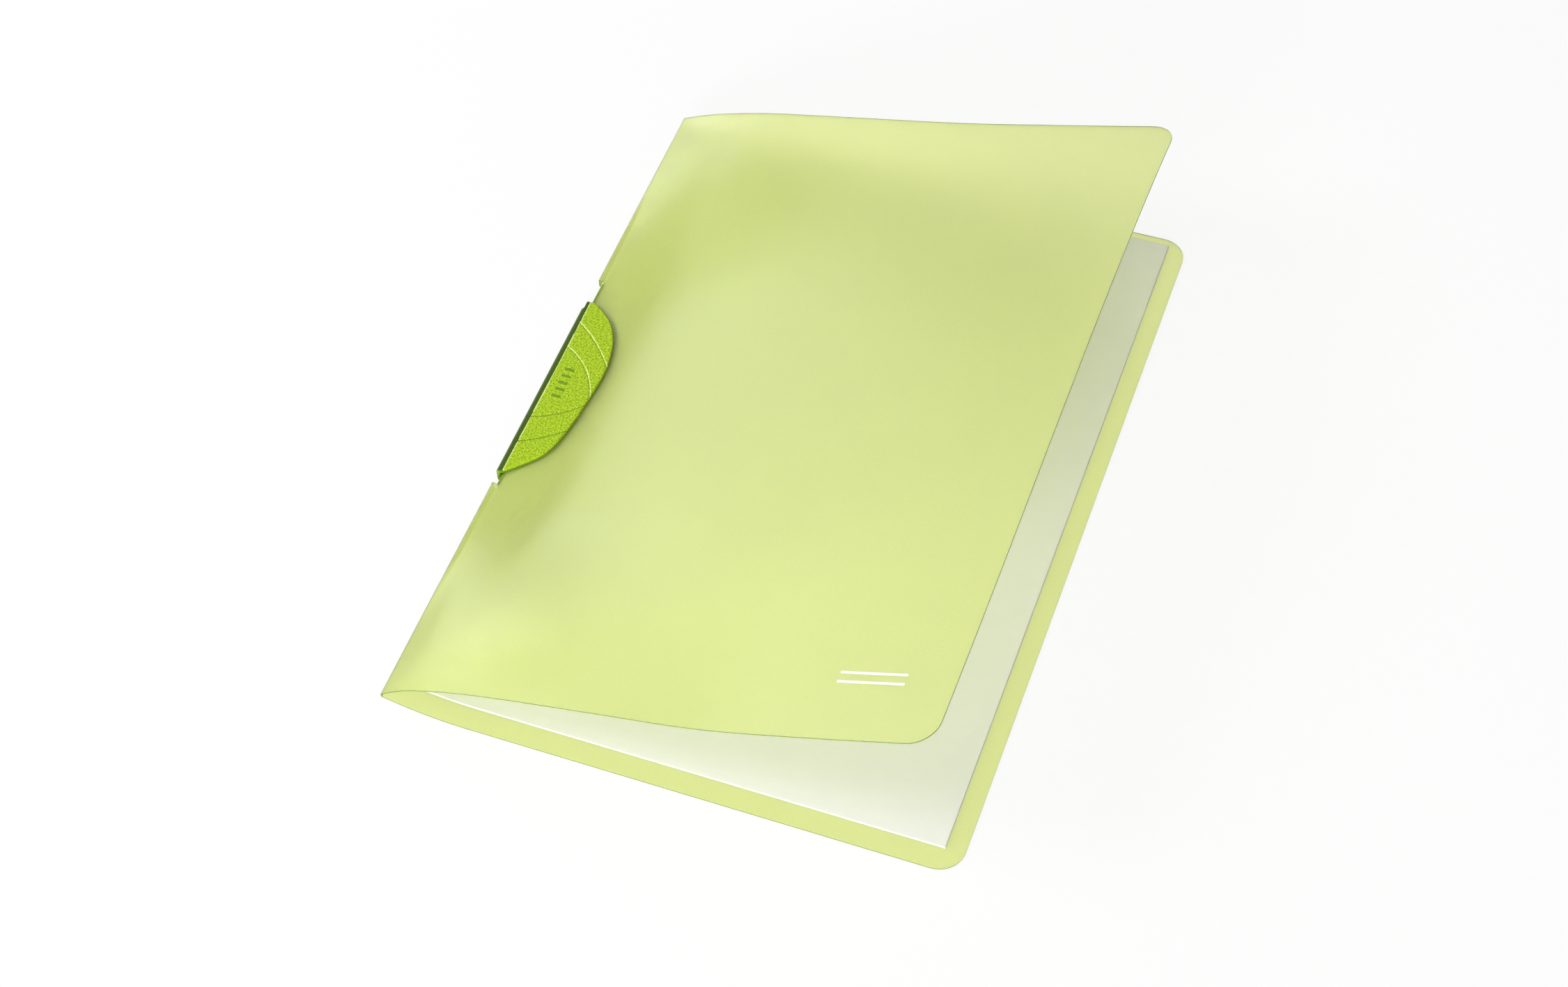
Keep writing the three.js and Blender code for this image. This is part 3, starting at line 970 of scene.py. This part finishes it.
    def shape(self) -> Shape:
        """The U section carried along the spine.

        Each row runs from the back plate's rim to the web, up the web and out to the front plate's
        rim. The outer path has a rounded corner at each end of the web, the rims and ends fall off
        by a quarter round, and the front plate carries the grooves and bars.
        """
        ends = (1 - np.cos(np.linspace(0.0, math.pi, self.end_rows))) / 2
        even = np.linspace(0.0, 1.0, self.even_rows)
        stop = (self.top - self.web_stop) / self.length
        down = np.unique(np.concatenate([even, ends, [stop]]))[::-1]
        y = self.top - down[:, None] * self.length
        rim = self.reach * curve_through(self.outline, down)[:, None]
        slant = np.hypot(1.0, np.gradient(rim[:, 0], y[:, 0]))[:, None]
        r, foot, peak = self.spine_round, -self.overhang + self.spine_round, self.front_top
        back = evenly(0.0, 1.0, self.back_columns)
        quarter = evenly(0.0, math.pi / 2, self.quarter_columns)
        middle = evenly(0.0, 1.0, self.web_columns)
        out = np.linspace(0.0, 1.0, self.front_columns)
        ones = np.ones_like(y)
        x = np.concatenate([
            mix(rim, foot, back),
            ones * (foot - r * np.sin(quarter)),
            ones * np.full(len(middle), -self.overhang),
            ones * (foot - r * np.cos(quarter)),
            mix(foot, rim, out),
        ], 1)
        z = np.concatenate([
            ones * np.zeros(len(back)),
            ones * (r - r * np.cos(quarter)),
            ones * mix(r, peak - r, middle),
            ones * (peak - r + r * np.sin(quarter)),
            ones * np.full(len(out), peak),
        ], 1)
        across = np.repeat(y, x.shape[1], 1)
        from_ends = np.minimum(self.top - y, y - self.top + self.length)
        from_rim = np.minimum((rim - x) / slant, from_ends)
        drop = rounded_drop(self.rim_round, np.maximum(from_rim, 0.0))
        on_back = np.arange(x.shape[1]) < len(back)
        on_front = np.arange(x.shape[1]) >= x.shape[1] - len(out)
        relief = self.bar_rise(x, across) - self.groove_dent(x, across)
        z = z + np.where(on_back, drop, 0.0) + np.where(on_front, relief - drop, 0.0)
        outer = np.stack([x, across, z], -1)

        web_inner = np.minimum(self.web - self.overhang, rim - self.least_wall)
        low, high = self.back_plate, self.front_top - self.front_plate
        web_points = 2 * len(quarter) + len(middle)
        inner_x = np.concatenate([
            mix(rim, web_inner, back),
            ones * web_inner * np.ones(web_points),
            mix(web_inner, rim, out),
        ], 1)
        inner_z = np.concatenate([
            np.full(len(back), low),
            evenly(low, high, web_points),
            np.full(len(out), high),
        ])
        inner = np.stack([inner_x, across, ones * inner_z], -1)
        keep = np.ones((len(down) - 1, x.shape[1] - 1), bool)
        web_cells = slice(len(back), x.shape[1] - len(out))
        keep[(across[:-1, 0] + across[1:, 0]) / 2 > self.web_stop, web_cells] = False
        lengths = np.hypot(np.diff(x, axis=1), np.diff(z, axis=1)).cumsum(axis=1)
        arc = np.concatenate([np.zeros_like(y), lengths], 1)
        zones = self.zones(x, across, on_front)
        return Shape.shell(outer, inner, np.stack([arc, across], -1), keep, zones)

    def pin_shape(self, low: float, high: float) -> Shape:
        """Stub pin: a square grid pressed into a disc, u sqrt(1 - v^2 / 2), v sqrt(1 - u^2 / 2)."""
        across = np.linspace(-1.0, 1.0, self.pin_grid)
        u, v = np.meshgrid(across, across)
        x = self.pivot[0] + self.pin_radius * u * np.sqrt(1.0 - v**2 / 2)
        y = self.pivot[1] + self.pin_radius * v * np.sqrt(1.0 - u**2 / 2)
        top = np.stack([x, y, np.full(x.shape, high)], -1)
        foot = np.stack([x, y, np.full(x.shape, low)], -1)
        return Shape.shell(top, foot, top[..., :2])

    def pins(self) -> list[Shape]:
        """One stub pin on each plate's inner face, both on the pivot."""
        back, front = self.back_plate, self.front_top - self.front_plate
        return [
            self.pin_shape(back - self.pin_seat, back + self.pin_length),
            self.pin_shape(front - self.pin_length, front + self.pin_seat),
        ]

    def build(self) -> bpy.types.Object:
        """Makes the clip and sets how it moves."""
        # Clip finishes in Zone order: plastic, rim with painted groove shade, painted shade over the
        # web, painted highlight.
        finishes = [finish.build() for finish in (CLIP, CLIP_RIM_AND_SHADE, CLIP_PAINTED_SHADE, CLIP_PAINTED_HIGHLIGHT)]
        whole = Shape.joined([self.shape(), *self.pins()])
        clip = whole.to_object("leaf_clip", self.origin, finishes)
        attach(clip, Body.CLIP.value)
        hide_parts("swing_clip")
        return clip


@dataclass
class Rail:
    """The fixed rail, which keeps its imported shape."""

    node: str = "clip_rail"

    def build(self) -> bpy.types.Object:
        """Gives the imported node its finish."""
        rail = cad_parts[self.node]
        rail.data.materials.clear()
        rail.data.materials.append(RAIL.build())
        return rail


# Studio and camera


@dataclass(frozen=True)
class Lamp:
    """A square lamp: its place and size in metres, and its power in watts."""

    place: tuple[float, float, float]
    size: float
    power: float


@dataclass
class Studio:
    """White floor and surroundings, with soft lamps in front, at the left and behind."""

    floor_size: float = 6.0
    floor_level: float = -0.0003
    floor_tone: float = 0.95
    floor_glow: float = 0.86
    ambient: float = 0.33
    ambient_tilt: float = 0.85
    lamps: tuple[Lamp, ...] = (
        Lamp((0.05, -1.9, 0.6), size=0.6, power=34.0),
        Lamp((-1.2, -0.5, 1.2), size=0.8, power=16.0),
        Lamp((-0.93, 0.65, 0.42), size=0.5, power=2.4),
    )

    def seen_share(self, board: Board) -> bpy.types.NodeSocket:
        """1 for rays that show the background directly, in a mirror or through glass.

        Rays that come from a matt surface get 0, also where they pass through the film.
        """
        path = board.node("ShaderNodeLightPath")
        first = board.maths("MAXIMUM")
        second = board.maths("MAXIMUM")
        shown = board.maths("SUBTRACT")
        shown.use_clamp = True
        board.join(path.outputs["Is Camera Ray"], first.inputs[0])
        board.join(path.outputs["Is Glossy Ray"], first.inputs[1])
        board.join(first.outputs[0], second.inputs[0])
        board.join(path.outputs["Is Transmission Ray"], second.inputs[1])
        board.join(second.outputs[0], shown.inputs[0])
        board.join(path.outputs["Diffuse Depth"], shown.inputs[1])
        return shown.outputs[0]

    def floor(self) -> None:
        """Floor that looks white and still takes a pale shadow."""
        half = self.floor_size / 2
        mesh = bpy.data.meshes.new("floor")
        corners = [(-half, -half), (half, -half), (half, half), (-half, half)]
        mesh.from_pydata([(x, y, self.floor_level) for x, y in corners], [], [(0, 1, 2, 3)])
        material = bpy.data.materials.new("white_floor")
        material.use_nodes = True
        board = Board(material.node_tree)
        out = board.node("ShaderNodeOutputMaterial")
        matte = board.node("ShaderNodeBsdfDiffuse", Color=(*[self.floor_tone] * 3, 1.0))
        glow = board.node("ShaderNodeEmission", Color=(1.0, 1.0, 1.0, 1.0), Strength=1.0)
        seen = board.node("ShaderNodeMixShader", Fac=self.floor_glow)
        chosen = board.node("ShaderNodeMixShader")
        board.join(matte.outputs[0], seen.inputs[1])
        board.join(glow.outputs[0], seen.inputs[2])
        board.join(self.seen_share(board), chosen.inputs[0])
        board.join(matte.outputs[0], chosen.inputs[1])
        board.join(seen.outputs[0], chosen.inputs[2])
        board.join(chosen.outputs[0], out.inputs["Surface"])
        mesh.materials.append(material)
        add_object("floor", mesh)

    def world(self) -> None:
        """Surroundings that look white, and light the object more from the front than from behind.

        The strength is ambient less the tilt's share of it times the direction's y.
        """
        world = bpy.data.worlds.new("studio")
        bpy.context.scene.world = world
        world.use_nodes = True
        board = Board(world.node_tree)
        out = board.node("ShaderNodeOutputWorld")
        direction = board.node("ShaderNodeTexCoord")
        parts = board.node("ShaderNodeSeparateXYZ")
        strength = board.maths("MULTIPLY_ADD")
        strength.inputs[1].default_value = -self.ambient * self.ambient_tilt
        strength.inputs[2].default_value = self.ambient
        light = board.node("ShaderNodeBackground")
        board.join(direction.outputs["Generated"], parts.inputs[0])
        board.join(parts.outputs["Y"], strength.inputs[0])
        board.join(strength.outputs[0], light.inputs["Strength"])
        white = board.node("ShaderNodeBackground", Strength=1.0)
        for node in (light, white):
            node.inputs["Color"].default_value = (1.0, 1.0, 1.0, 1.0)
        chosen = board.node("ShaderNodeMixShader")
        board.join(self.seen_share(board), chosen.inputs[0])
        board.join(light.outputs[0], chosen.inputs[1])
        board.join(white.outputs[0], chosen.inputs[2])
        board.join(chosen.outputs[0], out.inputs["Surface"])

    def light(self) -> None:
        """Square lamps that face the middle of the folder."""
        for number, lamp in enumerate(self.lamps):
            data = bpy.data.lights.new(f"soft_lamp_{number}", "AREA")
            data.shape = "SQUARE"
            data.size = lamp.size
            data.energy = lamp.power
            holder = add_object(data.name, data)
            holder.location = lamp.place
            holder.rotation_euler = (-Vector(lamp.place)).to_track_quat("-Z", "Y").to_euler()

    def build(self) -> None:
        """Makes floor, surroundings and lamps."""
        self.floor()
        self.world()
        self.light()


@dataclass(frozen=True)
class PhotoCamera:
    """Camera of the photograph, in millimetres from the spine's bottom end and in its pixels."""

    image_width: int = 2251
    image_height: int = 1417
    focal_px: float = 3974.4
    centre_px: tuple[float, float] = (935.8, 716.6)
    place: tuple[float, float, float] = (349.72, -464.09, 843.29)
    right: tuple[float, float, float] = (0.92899, 0.36382, -0.06793)
    down: tuple[float, float, float] = (0.25064, -0.75347, -0.60783)
    forward: tuple[float, float, float] = (-0.27232, 0.54764, -0.79116)
    sensor_mm: float = 36.0

    def build(self, origin: Vector) -> None:
        """Makes the camera and sets it as the scene's.

        Args:
            origin: Where the spine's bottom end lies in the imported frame, in metres.
        """
        data = bpy.data.cameras.new("photo_camera")
        data.sensor_width = self.sensor_mm
        data.lens = self.focal_px / self.image_width * self.sensor_mm
        data.shift_x = (self.image_width / 2 - self.centre_px[0]) / self.image_width
        data.shift_y = (self.centre_px[1] - self.image_height / 2) / self.image_width
        camera = add_object("photo_camera", data)
        axes = Matrix([self.right, [-v for v in self.down], [-v for v in self.forward]])
        place = origin + Vector(self.place) * MILLIMETRE
        camera.matrix_world = Matrix.Translation(place) @ axes.transposed().to_4x4()
        bpy.context.scene.camera = camera


def main() -> None:
    """Builds the folder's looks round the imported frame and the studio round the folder."""
    logging.basicConfig(level=logging.INFO, format="%(name)s: %(message)s")
    form = FolderForm()
    low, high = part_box("back_cover")
    origin = Vector((high.x - form.width * MILLIMETRE, low.y, 0.0))
    pieces = [
        *Covers(form, origin).build(),
        SheetStack(form, origin).build(),
        SwingClip(form, origin).build(),
        Rail().build(),
    ]
    for piece in pieces:
        log.info("%s has %d faces", piece.name, len(piece.data.polygons))
    Studio().build()
    PhotoCamera().build(origin)
    bpy.context.scene.view_settings.view_transform = "Standard"


if __name__ == "__main__":
    main()
